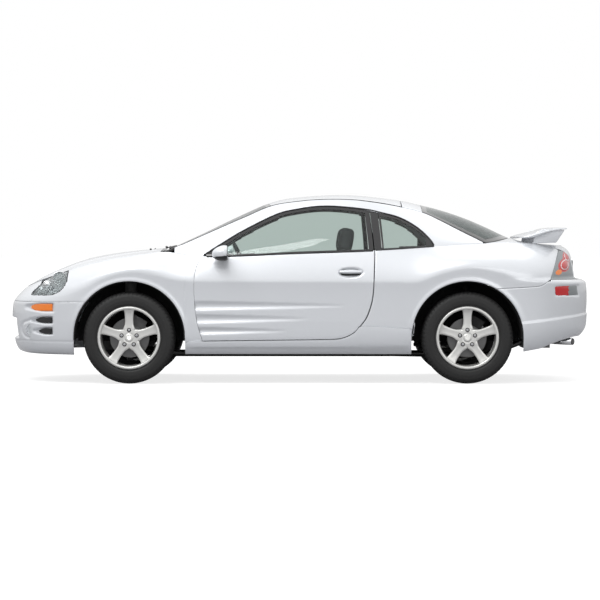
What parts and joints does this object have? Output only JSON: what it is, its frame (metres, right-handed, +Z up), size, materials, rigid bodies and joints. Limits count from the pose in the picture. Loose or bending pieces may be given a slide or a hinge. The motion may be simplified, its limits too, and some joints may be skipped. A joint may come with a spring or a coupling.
{
  "type": "coupe car",
  "caption": "Two-door liftback coupe with opening doors, hood and hatch, steered front wheels and free-turning road wheels.",
  "frame": {"origin": "on the ground, at the middle of the car's length and width", "axes": "-X towards the nose, -Y towards the car's left side, +Z up"},
  "size_m": [4.2998, 1.97, 1.3809],
  "materials": {
    "paint": "silver-white metallic, clear coat",
    "glass": "pale green-grey, polished",
    "lamp_clear": "clear lamp lens",
    "lamp_red": "red lamp lens",
    "tyre": "matt",
    "alloy": "silver lacquer",
    "cast_iron": "raw",
    "black_steel": "black underbody paint",
    "exhaust_steel": "satin",
    "seat_fabric": "woven",
    "black_plastic": "fine grain"
  },
  "bodies": {
    "root": {"floor_pan": "black_steel", "front_bumper": "paint", "rear_bumper": "paint", "nose_panel": "paint", "fender_left": "paint", "fender_right": "paint", "body_side_left": "paint", "body_side_right": "paint", "roof_panel": "paint", "windscreen": "glass", "quarter_glass": "glass", "headlamp_left": "lamp_clear", "headlamp_right": "lamp_clear", "tail_lamp_left": "lamp_red", "tail_lamp_right": "lamp_red", "cowl_panel": "black_plastic", "front_suspension": "black_steel", "rear_suspension": "black_steel", "engine_block": "cast_iron", "exhaust": "exhaust_steel", "front_seats": "seat_fabric", "rear_seat": "seat_fabric", "dashboard": "black_plastic", "steering_wheel": "black_plastic", "arch_liners": "black_plastic"},
    "hood": {"hood": "paint"},
    "hatch": {"hatch": "paint", "rear_glass": "glass", "spoiler": "paint"},
    "door_left": {"door_left": "paint", "door_glass_left": "glass", "mirror_left": "paint"},
    "door_right": {"door_right": "paint", "door_glass_right": "glass", "mirror_right": "paint"},
    "steer_left": {"knuckle_left": "cast_iron"},
    "steer_right": {"knuckle_right": "cast_iron"},
    "wheel_front_left": {"tyre_front_left": "tyre", "wheel_front_left": "alloy"},
    "wheel_front_right": {"tyre_front_right": "tyre", "wheel_front_right": "alloy"},
    "wheel_rear_left": {"tyre_rear_left": "tyre", "wheel_rear_left": "alloy"},
    "wheel_rear_right": {"tyre_rear_right": "tyre", "wheel_rear_right": "alloy"}
  },
  "joints": [
    {"name": "steering_left", "type": "hinge", "parent": "root", "child": "steer_left", "pos_m": [-1.23, -0.672, 0.205], "axis": [0, 0.2078, 0.9782], "range_deg": [-32, 32]},
    {"name": "steering_right", "type": "hinge", "parent": "root", "child": "steer_right", "pos_m": [-1.23, 0.672, 0.205], "axis": [0, -0.2078, 0.9782], "range_deg": [-32, 32]},
    {"name": "roll_front_left", "type": "hinge", "parent": "steer_left", "child": "wheel_front_left", "pos_m": [-1.23, -0.738, 0.334], "axis": [0, 1, 0], "continuous": true},
    {"name": "roll_front_right", "type": "hinge", "parent": "steer_right", "child": "wheel_front_right", "pos_m": [-1.23, 0.738, 0.334], "axis": [0, 1, 0], "continuous": true},
    {"name": "roll_rear_left", "type": "hinge", "parent": "root", "child": "wheel_rear_left", "pos_m": [1.22, -0.738, 0.334], "axis": [0, 1, 0], "continuous": true},
    {"name": "roll_rear_right", "type": "hinge", "parent": "root", "child": "wheel_rear_right", "pos_m": [1.22, 0.738, 0.334], "axis": [0, 1, 0], "continuous": true},
    {"name": "door_left_hinge", "type": "hinge", "parent": "root", "child": "door_left", "pos_m": [-0.657, -0.818, 0.65], "axis": [0, 0, -1], "range_deg": [0, 65]},
    {"name": "door_right_hinge", "type": "hinge", "parent": "root", "child": "door_right", "pos_m": [-0.657, 0.818, 0.65], "axis": [0, 0, 1], "range_deg": [0, 65]},
    {"name": "hood_hinge", "type": "hinge", "parent": "root", "child": "hood", "pos_m": [-0.996, 0, 0.95], "axis": [0, 1, 0], "range_deg": [0, 50]},
    {"name": "hatch_hinge", "type": "hinge", "parent": "root", "child": "hatch", "pos_m": [0.7515, 0, 1.3405], "axis": [0, -1, 0], "range_deg": [0, 60]}
  ],
  "couplings": [
    {"joint": "steering_right", "follows": "steering_left", "ratio": 1}
  ]
}
